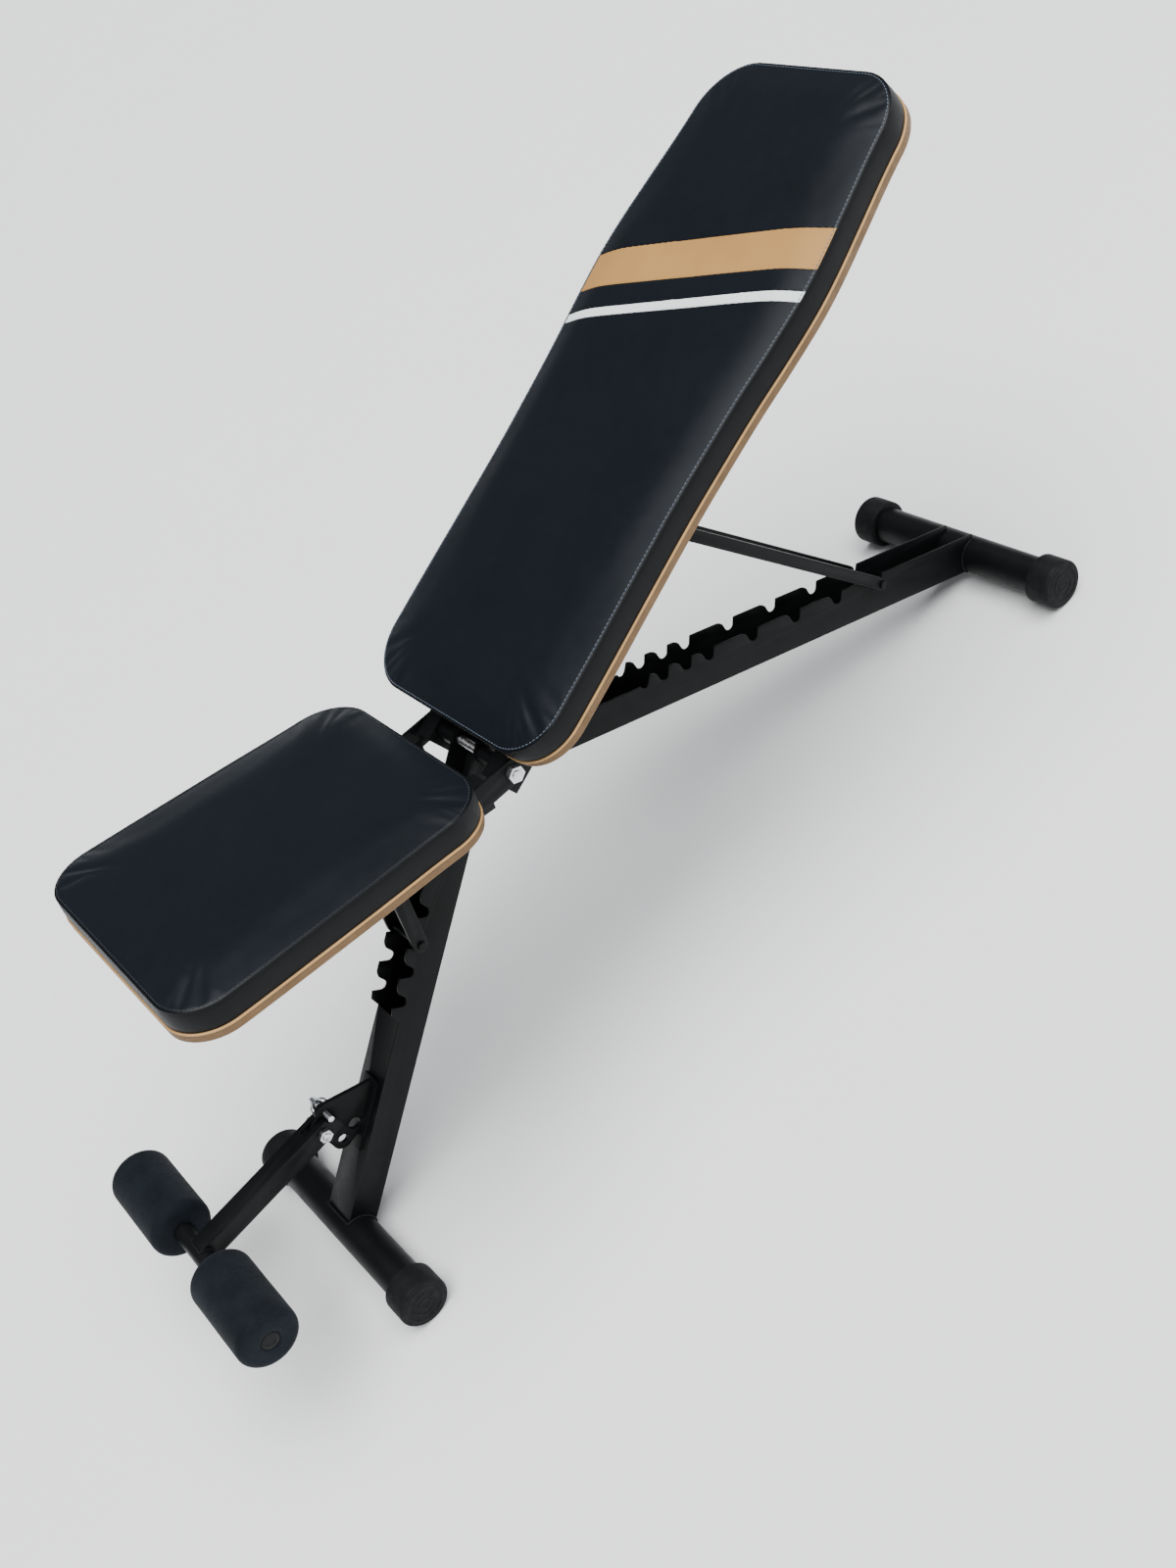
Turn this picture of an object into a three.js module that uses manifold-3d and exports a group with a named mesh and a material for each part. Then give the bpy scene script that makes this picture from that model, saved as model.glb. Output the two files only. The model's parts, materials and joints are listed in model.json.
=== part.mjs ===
// Adjustable sit-up bench: hinged seat and backrest held by props in notched channels,
// with a leg hold of two foam rollers on a swinging arm.
// Millimetres. X runs from the leg hold to the rear foot, Y across, Z up, floor at Z = 0.
import * as THREE from 'three';
import { mergeVertices } from 'three/addons/utils/BufferGeometryUtils.js';
import Module from 'manifold-3d';

const wasm = await Module();
wasm.setup();

// ---------------------------------------------------------------- dimensions
const gap = 0.3;

// Feet: round tubes across the bench, with push-on rubber caps.
const footTubeR = 25;
const footTubeWall = 2;
const footHalfLength = 175;
const footAxisZ = 32.5;
const frontFootX = 0;
const rearFootX = 1224;
const capR = 33;
const capLength = 38;
const capEndThickness = 5;

// Hinge that carries the post, the seat and the backrest.
const hinge = { x: 504.5, z: 420 };
const hingeBoltR = 6;
const hingeHoleR = 6.3;

// Main channels.
const channelHalfWidth = 25;
const wall = 2.5;
const postAngle = 37.9;
const postHalfDepth = 20;
const postHookHeight = 32;
const postTop = 655;
const postNotchV = 23;
const postNotches = [319, 358, 397, 436];
const beamAngle = -26.6;
const beamBottom = -44.5;
const beamTop = 8;
const beamLowTop = -3.5;
const beamNotches = [268.5, 304.8, 341.1, 413.7, 486.3, 558.9, 631.5];
const beamNotchV = -1;

// Latch rods that sit in the notches.
const latchR = 5;
const notchR = 7;
const notchRamp = 12;

// Pads.
const seatAngle = 14.2;
const backAngle = 18.2;
const railOuterY = 82.5;
const railWidth = 25;
const railWall = 2;
const railHeight = 40;
const seatRailTop = 9.5;
const backRailTop = 15.5;
const boardThickness = 12.4;
const seatSeam = 52;
const backSeam = 57.5;
const crown = 9;
const trimThickness = 2.5;

// Props.
const backPropY = 27.6;
const backPropThickness = 7;
const backPropWidth = 16;
const backPropPivot = { s: 317.5, n: -4.5 };
const seatPropY = 27.6;
const seatPropThickness = 5;
const seatPropWidth = 20;
const seatPropPivot = { s: 166.5, n: -8.5 };

// Leg hold.
const rollerAxis = { x: -134.6, z: 186 };
const rollerR = 39.2;
const rollerInner = 46;
const rollerOuter = 181;
const crossTubeR = 12.5;
const crossTubeHalf = 177;
const armPivot = { x: 62, z: 182 };
const armSize = 26;
const armWall = 2;
const armTail = 24;
const armStepU = 12.5;
const armStepV = 8.1;
const stopPin = { x: 81, z: 194.5 };
const stopPinR = 4;

// ---------------------------------------------------------------- materials
const finishes = {
  frame: [0x1b1c1e, 0.5, 0.35],
  rubber: [0x141516, 0.85, 0],
  foam: [0x14181d, 0.95, 0],
  vinyl: [0x161a20, 0.42, 0],
  trim: [0xb58a57, 0.55, 0],
  board: [0x2a2622, 0.8, 0],
  steel: [0xc9ccd0, 0.25, 1],
  plug: [0x55585c, 0.6, 0],
};

const parts = [];
function add(name, geometry, finish) {
  const [color, roughness, metalness] = finishes[finish];
  const mesh = new THREE.Mesh(geometry, new THREE.MeshStandardMaterial({ color, roughness, metalness }));
  mesh.name = name;
  parts.push(mesh);
}

// ---------------------------------------------------------------- solids
function toManifold(geometry) {
  const g = geometry.clone();
  g.deleteAttribute('normal');
  g.deleteAttribute('uv');
  const welded = mergeVertices(g, 1e-4);
  return new wasm.Manifold(new wasm.Mesh({
    numProp: 3,
    vertProperties: new Float32Array(welded.attributes.position.array),
    triVerts: new Uint32Array(welded.index.array),
  }));
}

function fromManifold(solid) {
  const mesh = solid.getMesh();
  const g = new THREE.BufferGeometry();
  const count = mesh.vertProperties.length / mesh.numProp;
  const position = new Float32Array(count * 3);
  for (let i = 0; i < count; i += 1) {
    for (let k = 0; k < 3; k += 1) {
      position[3 * i + k] = mesh.vertProperties[mesh.numProp * i + k];
    }
  }
  g.setAttribute('position', new THREE.BufferAttribute(position, 3));
  g.setIndex(new THREE.BufferAttribute(new Uint32Array(mesh.triVerts), 1));
  g.computeVertexNormals();
  return g;
}

const joinAll = (geometries) => fromManifold(
  geometries.slice(1).reduce((sum, g) => sum.add(toManifold(g)), toManifold(geometries[0])),
);

const cut = (geometry, cutters) => fromManifold(
  cutters.reduce((left, g) => left.subtract(toManifold(g)), toManifold(geometry)),
);

// Flat plate: an outline of [x, z] points, filling y0 to y1.
function plate(outline, y0, y1, holes = []) {
  const shape = new THREE.Shape(outline.map(([x, z]) => new THREE.Vector2(x, z)));
  for (const hole of holes) {
    shape.holes.push(new THREE.Path(hole.map(([x, z]) => new THREE.Vector2(x, z))));
  }
  const g = new THREE.ExtrudeGeometry(shape, { depth: y1 - y0, bevelEnabled: false });
  g.rotateX(Math.PI / 2);
  g.translate(0, y1, 0);
  return g;
}

// Round bar across the bench.
function rodY(r, y0, y1, x, z, segments = 20) {
  const g = new THREE.CylinderGeometry(r, r, y1 - y0, segments);
  g.translate(x, (y0 + y1) / 2, z);
  return g;
}

// Solid of revolution about an axis across the bench; profile of [radius, y] points.
function turnedY(profile, x, z, segments = 32) {
  const g = new THREE.LatheGeometry(profile.map(([r, y]) => new THREE.Vector2(r, y)), segments);
  g.translate(x, 0, z);
  return g;
}

const circle = (x, z, r, segments = 20) => Array.from({ length: segments }, (_, i) => {
  const a = (2 * Math.PI * i) / segments;
  return [x + r * Math.cos(a), z + r * Math.sin(a)];
});

function arc(x, z, r, from, to, steps) {
  return Array.from({ length: steps + 1 }, (_, i) => {
    const a = THREE.MathUtils.degToRad(from + ((to - from) * i) / steps);
    return [x + r * Math.cos(a), z + r * Math.sin(a)];
  });
}

// Side view placement: u runs along a direction from an origin, v square to it.
function placer(origin, degrees, mirrored = false) {
  const a = THREE.MathUtils.degToRad(degrees);
  const c = Math.cos(a);
  const s = Math.sin(a);
  const side = mirrored ? -1 : 1;
  return (u, v) => [origin.x + side * (u * c - v * s), origin.z + u * s + v * c];
}

const frontFoot = { x: frontFootX, z: footAxisZ };
const onPost = placer(frontFoot, postAngle);
const onBeam = placer(hinge, beamAngle);
const onSeat = placer(hinge, seatAngle, true);
const onBack = placer(hinge, backAngle);
const map = (place, points) => points.map(([u, v]) => place(u, v));

// ---------------------------------------------------------------- feet
function foot(name, x) {
  const ring = [
    [footTubeR, -footHalfLength], [footTubeR, footHalfLength],
    [footTubeR - footTubeWall, footHalfLength], [footTubeR - footTubeWall, -footHalfLength],
    [footTubeR, -footHalfLength],
  ];
  add(`${name}_foot_tube`, turnedY(ring, x, footAxisZ, 40), 'frame');
  for (const [side, sign] of [['left', -1], ['right', 1]]) {
    const end = footHalfLength + gap + capEndThickness;
    const mouth = end - capLength;
    const bore = footTubeR + gap;
    const rings = [];
    for (const r of [24, 15, 7]) {
      rings.push([r + 1.4, end], [r, end + 0.9], [r - 1.4, end]);
    }
    const profile = [
      [0, end - capEndThickness], [bore, end - capEndThickness], [bore, mouth],
      [capR - 2, mouth], [capR, mouth + 2], [capR, end - 3], [capR - 3, end],
      ...rings, [0, end],
    ].map(([r, y]) => [r, sign * y]);
    if (sign > 0) {
      profile.reverse();
    }
    const cap = turnedY(profile.reverse(), x, footAxisZ, 28);
    const floor = plate([[x - 40, -20], [x + 40, -20], [x + 40, 0], [x - 40, 0]], -250, 250);
    add(`${name}_foot_cap_${side}`, cut(cap, [floor]), 'rubber');
  }
}

// ---------------------------------------------------------------- notched channels
// Hook notch at u on a wall edge at height top: a ramp leading in, a round seat and an upright back.
// dir is the sense of u in which the upright back lies.
function notch(u, seatV, top, dir) {
  const rampEnd = u - notchR;
  const ramp = [
    [rampEnd - notchRamp, top],
    [rampEnd - 0.62 * notchRamp, top - 1.6],
    [rampEnd - 0.28 * notchRamp, top - 4.6],
  ];
  const floor = arc(u, seatV, notchR, 215, 360, 5);
  const back = [[u + notchR, seatV + 2], [u + notchR + 1, top]];
  const points = [...ramp, ...floor.slice(0, -1), ...back];
  return dir > 0 ? points : points.map(([a, b]) => [2 * u - a, b]).reverse();
}

function rearBeam() {
  const end = 812;
  const start = -30;
  const topEdge = [[start, beamLowTop], [232, beamLowTop], [235, beamLowTop - 4], [240, beamLowTop - 4]];
  topEdge.push([243, beamLowTop], [247, beamTop]);
  for (const u of beamNotches) {
    topEdge.push(...notch(u, beamNotchV, beamTop, 1));
  }
  const side = map(onBeam, [[start, beamBottom], ...topEdge, [end, beamTop], [end, beamBottom]]);
  const floor = map(onBeam, [
    [start, beamBottom], [start, beamBottom + wall], [end, beamBottom + wall], [end, beamBottom],
  ]);
  const postBody = plate(map(onPost, [
    [-40, -postHalfDepth - gap], [760, -postHalfDepth - gap], [760, 90], [-40, 90],
  ]), -60, 60);
  const channel = joinAll([
    plate(side, -channelHalfWidth, -channelHalfWidth + wall),
    plate(side, channelHalfWidth - wall, channelHalfWidth),
    plate(floor, -channelHalfWidth + wall / 2, channelHalfWidth - wall / 2),
  ]);
  const saddle = rodY(footTubeR + gap, -60, 60, rearFootX, footAxisZ, 40);
  add('rear_beam', cut(channel, [postBody, saddle]), 'frame');
}

function frontPost() {
  const hookStart = 292;
  const topEdge = [[0, postHalfDepth], [hookStart, postHalfDepth], [hookStart + 8, postHookHeight]];
  for (const u of postNotches) {
    topEdge.push(...notch(u, postNotchV, postHookHeight + 2, -1));
  }
  topEdge.push([462, postHookHeight + 2], [600, 9], [postTop - 8, 9], [postTop, 1]);
  const side = map(onPost, [[0, -postHalfDepth], ...topEdge, [postTop, -postHalfDepth]].reverse());
  const strip = (v0, v1, u0, u1) => plate(
    map(onPost, [[u0, v0], [u1, v0], [u1, v1], [u0, v1]]),
    -channelHalfWidth + wall / 2,
    channelHalfWidth - wall / 2,
  );
  const tube = joinAll([
    plate(side, -channelHalfWidth, -channelHalfWidth + wall),
    plate(side, channelHalfWidth - wall, channelHalfWidth),
    strip(-postHalfDepth, -postHalfDepth + wall, 0, postTop),
    strip(postHalfDepth - wall, postHalfDepth, 0, hookStart),
  ]);
  const saddle = rodY(footTubeR + gap, -60, 60, frontFootX, footAxisZ, 40);
  const bolt = rodY(hingeHoleR, -60, 60, hinge.x, hinge.z);
  add('front_post', cut(tube, [saddle, bolt]), 'frame');
}

// ---------------------------------------------------------------- fasteners
// Hexagon nut or bolt head across the bench.
function hexY(acrossFlats, y0, y1, x, z) {
  return rodY(acrossFlats / Math.sqrt(3), y0, y1, x, z, 6);
}

// Bolt across the bench: head towards +Y, shank through to y0.
function boltY(r, head, headThickness, y0, y1, x, z) {
  return joinAll([rodY(r, y0, y1 + 0.5, x, z, 20), hexY(head, y1, y1 + headThickness, x, z)]);
}

function nutY(r, acrossFlats, y0, y1, x, z) {
  return cut(hexY(acrossFlats, y0, y1, x, z), [rodY(r + 0.15, y0 - 1, y1 + 1, x, z, 20)]);
}

const earThickness = 3;
const earOuterY = railOuterY + gap + earThickness;

function hingeSet() {
  add('hinge_bolt', boltY(hingeBoltR, 19, 7.5, -earOuterY - 11, earOuterY + gap, hinge.x, hinge.z), 'steel');
  add('hinge_nut', nutY(hingeBoltR, 19, -earOuterY - gap - 9, -earOuterY - gap, hinge.x, hinge.z), 'steel');
  for (const [side, sign] of [['left', -1], ['right', 1]]) {
    const y0 = channelHalfWidth + gap;
    const y1 = railOuterY - railWidth - gap;
    const tube = [[hingeHoleR, y0], [11, y0], [11, y1], [hingeHoleR, y1], [hingeHoleR, y0]];
    const g = turnedY(tube, hinge.x, hinge.z, 24);
    if (sign < 0) {
      g.translate(0, -(y0 + y1), 0);
    }
    add(`hinge_spacer_${side}`, g, 'frame');
  }
}

// ---------------------------------------------------------------- pads
// Closed outline of a pad from its half widths along s, with rounded corners.
function padOutline(stations, cornerLow, cornerHigh, inset = 0) {
  const curve = new THREE.SplineCurve(stations.map(([s, w]) => new THREE.Vector2(s, w)));
  const s0 = stations[0][0] + inset;
  const s1 = stations[stations.length - 1][0] - inset;
  const dense = curve.getPoints(240);
  const widthAt = (s) => {
    const i = dense.findIndex((p) => p.x >= s);
    if (i <= 0) {
      return (i === 0 ? dense[0].y : dense[dense.length - 1].y) - inset;
    }
    const t = (s - dense[i - 1].x) / (dense[i].x - dense[i - 1].x);
    return dense[i - 1].y + t * (dense[i].y - dense[i - 1].y) - inset;
  };
  const low = Math.max(cornerLow - inset, 6);
  const high = Math.max(cornerHigh - inset, 6);
  const half = [];
  for (let i = 0; i <= 7; i += 1) {
    const a = (Math.PI / 2) * (i / 7);
    half.push([s0 + low * (1 - Math.cos(a)), widthAt(s0 + low) - low * (1 - Math.sin(a))]);
  }
  const straight = 12;
  for (let i = 1; i < straight; i += 1) {
    const s = s0 + low + ((s1 - high - s0 - low) * i) / straight;
    half.push([s, widthAt(s)]);
  }
  for (let i = 0; i <= 7; i += 1) {
    const a = (Math.PI / 2) * (i / 7);
    half.push([s1 - high * (1 - Math.sin(a)), widthAt(s1 - high) - high * (1 - Math.cos(a))]);
  }
  return [...half.map(([s, w]) => [s, -w]), ...half.slice().reverse()];
}

// Stack of equal-count outlines at rising heights, closed top and bottom.
function loft(layers, place) {
  const count = layers[0].outline.length;
  const position = [];
  for (const { outline, n } of layers) {
    for (const [s, y] of outline) {
      const [x, z] = place(s, n);
      position.push(x, y, z);
    }
  }
  const index = [];
  for (let k = 0; k < layers.length - 1; k += 1) {
    for (let i = 0; i < count; i += 1) {
      const a = k * count + i;
      const b = k * count + ((i + 1) % count);
      index.push(a, b, a + count, b, b + count, a + count);
    }
  }
  const first = layers[0].outline.map(([s, y]) => new THREE.Vector2(s, y));
  const last = layers[layers.length - 1].outline.map(([s, y]) => new THREE.Vector2(s, y));
  const offset = (layers.length - 1) * count;
  for (const [a, b, c] of THREE.ShapeUtils.triangulateShape(first, [])) {
    index.push(a, c, b);
  }
  for (const [a, b, c] of THREE.ShapeUtils.triangulateShape(last, [])) {
    index.push(offset + a, offset + b, offset + c);
  }
  const g = new THREE.BufferGeometry();
  g.setAttribute('position', new THREE.BufferAttribute(new Float32Array(position), 3));
  g.setIndex(index);
  const solid = toManifold(g);
  return solid.volume() >= 0 ? fromManifold(solid) : flip(g);
}

function flip(geometry) {
  const g = geometry.clone();
  const index = g.index.array;
  for (let i = 0; i < index.length; i += 3) {
    const keep = index[i];
    index[i] = index[i + 1];
    index[i + 1] = keep;
  }
  g.computeVertexNormals();
  return g;
}

// Plate in the plane of a pad, from n0 to n1.
function slab(outline, n0, n1, place) {
  return loft([{ outline, n: n0 }, { outline, n: n1 }], place);
}

function pad(name, stations, corners, place, railTop, seam) {
  const outline = (inset) => padOutline(stations, corners[0], corners[1], inset);
  const boardLow = railTop + gap;
  const boardHigh = boardLow + boardThickness;
  const cushionLow = boardHigh + gap;
  add(`${name}_board`, cut(
    slab(outline(trimThickness + gap), boardLow, boardHigh, place),
    padBolts[name].map(([s, y]) => padBoltHole(s, y, railTop, place)),
  ), 'board');
  add(`${name}_edge_trim`, cut(
    slab(outline(0), boardLow, boardHigh, place),
    [slab(outline(trimThickness), boardLow - 5, boardHigh + 5, place)],
  ), 'trim');
  add(`${name}_cushion`, loft([
    { outline: outline(1), n: cushionLow },
    { outline: outline(0), n: cushionLow + 4 },
    { outline: outline(0), n: seam - 2 },
    { outline: outline(3), n: seam + 2 },
    { outline: outline(12), n: seam + 0.6 * crown },
    { outline: outline(40), n: seam + crown },
  ], place), 'vinyl');
}

// Round bar square to a pad.
function rodN(r, n0, n1, s, y, place, segments = 12) {
  const [x0, z0] = place(s, n0);
  const [x1, z1] = place(s, n1);
  const g = new THREE.CylinderGeometry(r, r, n1 - n0, segments);
  const up = new THREE.Vector3(x1 - x0, 0, z1 - z0).normalize();
  g.applyQuaternion(new THREE.Quaternion().setFromUnitVectors(new THREE.Vector3(0, 1, 0), up));
  g.translate((x0 + x1) / 2, y, (z0 + z1) / 2);
  return g;
}

const railMidY = railOuterY - railWidth / 2;
const padBolts = {
  seat: [[110, -railMidY], [110, railMidY], [370, -railMidY], [370, railMidY]],
  backrest: [[90, -railMidY], [90, railMidY], [520, -railMidY], [520, railMidY]],
};
const padBoltHole = (s, y, railTop, place) => rodN(4.3, railTop - 1, railTop + 9.6, s, y, place);

// Rectangular tube along s between n0 and n1, open at both ends.
function rail(s0, s1, railTop, sign, place) {
  const y0 = sign * (railOuterY - railWidth);
  const y1 = sign * railOuterY;
  const low = Math.min(y0, y1);
  const high = Math.max(y0, y1);
  const bottom = railTop - railHeight;
  const outer = plate(map(place, [[s0, bottom], [s1, bottom], [s1, railTop], [s0, railTop]]), low, high);
  const inner = plate(
    map(place, [
      [s0 - 5, bottom + railWall], [s1 + 5, bottom + railWall],
      [s1 + 5, railTop - railWall], [s0 - 5, railTop - railWall],
    ]),
    low + railWall,
    high - railWall,
  );
  return { outer, inner };
}

function padRails(name, s0, s1, railTop, place, crossHoles) {
  for (const [side, sign] of [['left', -1], ['right', 1]]) {
    const { outer, inner } = rail(s0, s1, railTop, sign, place);
    const bottom = railTop - railHeight;
    const bores = padBolts[name]
      .filter(([, y]) => Math.sign(y) === sign)
      .map(([s, y]) => rodN(4.3, bottom - 2, railTop + 2, s, y, place));
    for (const [s, n, r] of crossHoles) {
      const [x, z] = place(s, n);
      bores.push(rodY(r, -100, 100, x, z));
    }
    add(`${name}_rail_${side}`, cut(outer, [inner, ...bores]), 'frame');
  }
  padBolts[name].forEach(([s, y], i) => {
    const bottom = railTop - railHeight;
    const shank = rodN(4, bottom - 0.8, railTop + 9, s, y, place);
    const head = rodN(7, bottom - gap - 4.5, bottom - gap, s, y, place, 14);
    add(`${name}_pad_bolt_${i + 1}`, joinAll([shank, head]), 'steel');
  });
}

const seatStations = [[65, 164], [105, 168], [160, 171], [230, 176], [320, 181], [400, 185], [476, 187]];
const backStations = [
  [14, 172], [80, 173], [160, 172], [240, 170], [330, 168.5], [400, 170], [470, 173],
  [530, 178], [590, 181], [640, 178.5], [700, 171], [760, 163], [812, 158], [864, 154],
];

function seat() {
  pad('seat', seatStations, [62, 58], onSeat, seatRailTop, seatSeam);
  padRails('seat', 34, 440, seatRailTop, onSeat, [[seatPropPivot.s, seatPropPivot.n, latchR + gap]]);
  const strap = [...arc(0, 0, 16, 90, 255, 10), [60, -24], [110, -24], [110, 8.5], [58, 8.5]];
  for (const [side, sign] of [['left', -1], ['right', 1]]) {
    const y0 = railOuterY + gap;
    const y1 = y0 + earThickness;
    const outline = map(onSeat, strap);
    const hole = circle(hinge.x, hinge.z, hingeHoleR);
    const g = sign > 0 ? plate(outline, y0, y1, [hole]) : plate(outline, -y1, -y0, [hole]);
    add(`seat_hinge_strap_${side}`, g, 'frame');
  }
}

function backrest() {
  pad('backrest', backStations, [66, 74], onBack, backRailTop, backSeam);
  padRails('backrest', -20, 600, backRailTop, onBack, [
    [0, 0, hingeHoleR], [backPropPivot.s, backPropPivot.n, latchR + gap],
  ]);
}

// ---------------------------------------------------------------- props
// Flat bar between two side-view points with round ends and an eye at each.
function propArm(from, to, width, y0, y1, eyeR) {
  const angle = THREE.MathUtils.radToDeg(Math.atan2(to.z - from.z, to.x - from.x));
  const length = Math.hypot(to.x - from.x, to.z - from.z);
  const on = placer(from, angle);
  const outline = map(on, [...arc(0, 0, width / 2, 90, 270, 8), ...arc(length, 0, width / 2, -90, 90, 8)]);
  return plate(outline, y0, y1, [circle(from.x, from.z, eyeR), circle(to.x, to.z, eyeR)]);
}

function prop(name, pivot, latch, width, innerY, thickness) {
  for (const [side, sign] of [['left', -1], ['right', 1]]) {
    const y0 = sign > 0 ? innerY : -innerY - thickness;
    add(`${name}_arm_${side}`, propArm(latch, pivot, width, y0, y0 + thickness, latchR + gap), 'frame');
  }
  const reach = innerY + thickness;
  add(`${name}_latch_rod`, rodY(latchR, -reach - 3, reach + 3, latch.x, latch.z), 'steel');
  add(`${name}_pivot_rod`, rodY(latchR, -railOuterY - 2, railOuterY + 2, pivot.x, pivot.z), 'steel');
}

const point = (place, s, n) => {
  const [x, z] = place(s, n);
  return { x, z };
};

function props() {
  const lastNotch = beamNotches[beamNotches.length - 1];
  prop('backrest_prop', point(onBack, backPropPivot.s, backPropPivot.n),
    point(onBeam, lastNotch, beamNotchV - notchR + latchR + gap), backPropWidth, backPropY, backPropThickness);
  prop('seat_prop', point(onSeat, seatPropPivot.s, seatPropPivot.n),
    point(onPost, postNotches[2], postNotchV - notchR + latchR + gap), seatPropWidth, seatPropY, seatPropThickness);
}

// ---------------------------------------------------------------- leg hold
function legHold() {
  const tilt = THREE.MathUtils.radToDeg(Math.atan2(rollerAxis.z - armPivot.z, armPivot.x - rollerAxis.x));
  const onArm = placer(armPivot, tilt, true);
  const reach = Math.hypot(armPivot.x - rollerAxis.x, rollerAxis.z - armPivot.z);
  const half = armSize / 2;
  const box = (u0, u1, v, y) => plate(map(onArm, [[u0, -v], [u1, -v], [u1, v], [u0, v]]), -y, y);
  add('leg_arm', cut(box(-armTail, reach, half, half), [
    box(-armTail - 5, reach - 30, half - armWall, half - armWall),
    box(-armTail - 5, 18, half + 5, 5),
    plate(map(onArm, [
      [-armTail - 5, armStepV], [-armStepU, armStepV], [-armStepU, half + 5], [-armTail - 5, half + 5],
    ]), -half - 5, half + 5),
    rodY(crossTubeR + gap, -60, 60, rollerAxis.x, rollerAxis.z, 32),
    rodY(5.2, -60, 60, armPivot.x, armPivot.z),
  ]), 'frame');
  add('leg_arm_pivot_bolt', boltY(5, 16, 6, -half - 9, half + gap, armPivot.x, armPivot.z), 'steel');
  add('leg_arm_pivot_nut', nutY(5, 16, -half - gap - 7, -half - gap, armPivot.x, armPivot.z), 'steel');

  const sector = [
    ...arc(stopPin.x, stopPin.z, 13, 60, 170, 7), ...arc(armPivot.x, armPivot.z, 12, 110, 235, 7),
    [58, 156], ...arc(72, 143, 14, 180, 290, 5), [97, 131.5], [150, 174],
  ];
  const holes = [circle(stopPin.x, stopPin.z, stopPinR + 0.2), circle(armPivot.x, armPivot.z, 5.2)];
  holes.push(circle(95, 147, 8), circle(72, 143, 6.5));
  const postFace = plate(map(onPost, [
    [-40, -60], [700, -60], [700, postHalfDepth + gap], [-40, postHalfDepth + gap],
  ]), -60, 60);
  const foot = plate(map(onPost, [
    [112, postHalfDepth + gap], [208, postHalfDepth + gap], [208, postHalfDepth + gap + 3],
    [112, postHalfDepth + gap + 3],
  ]), -13, 13);
  const bracket = cut(joinAll([plate(sector, -3, 3, holes), foot]), [postFace]);
  add('leg_hold_bracket', bracket, 'frame');

  const tube = [
    [crossTubeR, -crossTubeHalf], [crossTubeR, crossTubeHalf],
    [crossTubeR - 1.5, crossTubeHalf], [crossTubeR - 1.5, -crossTubeHalf], [crossTubeR, -crossTubeHalf],
  ];
  add('roller_cross_tube', turnedY(tube, rollerAxis.x, rollerAxis.z, 28), 'frame');
  for (const [side, sign] of [['left', -1], ['right', 1]]) {
    const bore = crossTubeR + 0.1;
    const roller = [
      [bore, rollerInner], [rollerR - 14, rollerInner], [rollerR - 4, rollerInner + 4],
      [rollerR, rollerInner + 14], [rollerR, rollerOuter - 14], [rollerR - 4, rollerOuter - 4],
      [rollerR - 14, rollerOuter], [bore, rollerOuter], [bore, rollerInner],
    ];
    const g = turnedY(roller, rollerAxis.x, rollerAxis.z, 36);
    const plugR = crossTubeR - 1.5 - gap;
    const plug = turnedY([
      [0, crossTubeHalf - 12], [plugR, crossTubeHalf - 12], [plugR, crossTubeHalf + gap],
      [crossTubeR - 0.4, crossTubeHalf + gap], [crossTubeR - 0.4, crossTubeHalf + 2],
      [crossTubeR - 1.6, crossTubeHalf + 3], [0, crossTubeHalf + 3],
    ], rollerAxis.x, rollerAxis.z, 28);
    if (sign < 0) {
      g.rotateX(Math.PI);
      g.translate(0, 0, 2 * rollerAxis.z);
      plug.rotateX(Math.PI);
      plug.translate(0, 0, 2 * rollerAxis.z);
    }
    add(`foam_roller_${side}`, g, 'foam');
    add(`cross_tube_plug_${side}`, plug, 'plug');
  }

  // Stop pin that pulls out sideways, with a ring through its head.
  const headY = 16.5;
  const ringR = 11;
  const ringWire = 1.2;
  const ringHole = { y: headY + 9, z: stopPin.z };
  const head = joinAll([
    rodY(stopPinR, -18, headY + 0.5, stopPin.x, stopPin.z, 20),
    rodY(7, headY, headY + 3, stopPin.x, stopPin.z, 20),
    rodY(4.5, headY + 2.5, headY + 14, stopPin.x, stopPin.z, 20),
  ]);
  const eye = new THREE.CylinderGeometry(2.6, 2.6, 20, 12);
  eye.rotateZ(Math.PI / 2);
  eye.translate(stopPin.x, ringHole.y, ringHole.z);
  add('stop_pin', cut(head, [eye]), 'steel');
  const ring = new THREE.TorusGeometry(ringR, ringWire, 8, 24);
  ring.rotateX(Math.PI / 2);
  ring.translate(stopPin.x, ringHole.y, ringHole.z - ringR);
  add('stop_pin_ring', ring, 'steel');
}

// ---------------------------------------------------------------- assembly
foot('front', frontFootX);
foot('rear', rearFootX);
frontPost();
rearBeam();
hingeSet();
seat();
backrest();
props();
legHold();

const group = new THREE.Group();
group.name = 'sit_up_bench';
group.add(...parts);
const bounds = new THREE.Box3().setFromObject(group);
const middleX = (bounds.min.x + bounds.max.x) / 2;
for (const mesh of parts) {
  mesh.geometry.translate(-middleX, 0, 0);
}

export default group;
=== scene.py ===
"""Sit-up bench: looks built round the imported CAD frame. Metres, Z up, same frame as the CAD."""
import json
import math

import bmesh
import bpy
import numpy as np
from mathutils import Matrix, Vector, noise
from mathutils.bvhtree import BVHTree


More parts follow.
